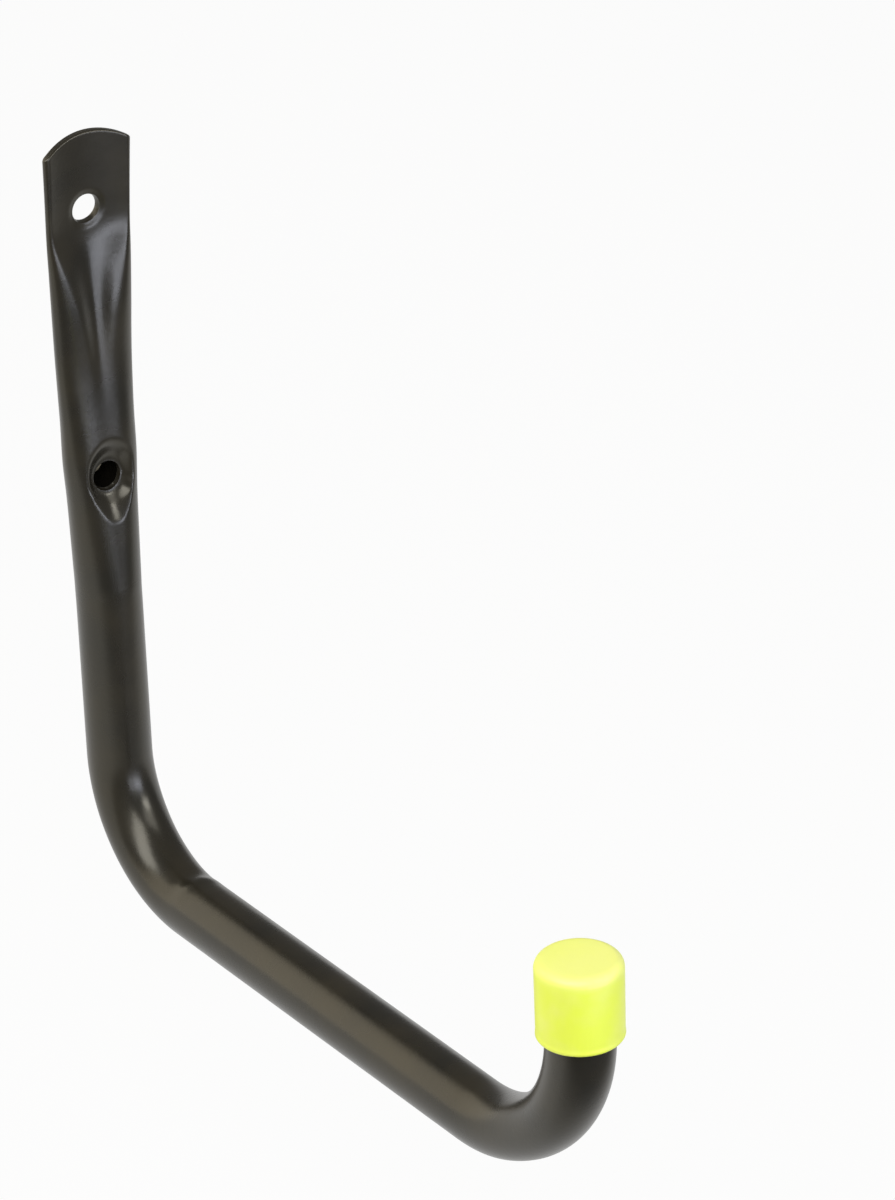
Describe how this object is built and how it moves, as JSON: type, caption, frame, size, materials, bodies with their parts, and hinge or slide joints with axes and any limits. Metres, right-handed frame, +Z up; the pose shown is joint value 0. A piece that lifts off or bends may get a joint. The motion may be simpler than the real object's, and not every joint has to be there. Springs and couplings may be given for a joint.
{
  "type": "garage utility hook",
  "caption": "Wall hook for a garage: a bent steel tube with a flattened, drilled plate at the top, a level arm and an upturned end under a soft bright cap.",
  "frame": {"origin": "on the wall plane, half way between the two screw holes", "axes": "+Y into the wall along the screws, +Z up the wall, X across the hook; the arm stands out along -Y"},
  "size_m": [0.029, 0.257, 0.2496],
  "materials": {
    "painted_tube": "satin black paint over mild steel tube",
    "soft_cap": "soft vinyl, bright yellow green"
  },
  "bodies": {
    "root": {"bent_tube": "painted_tube", "end_cap": "soft_cap"}
  },
  "joints": []
}
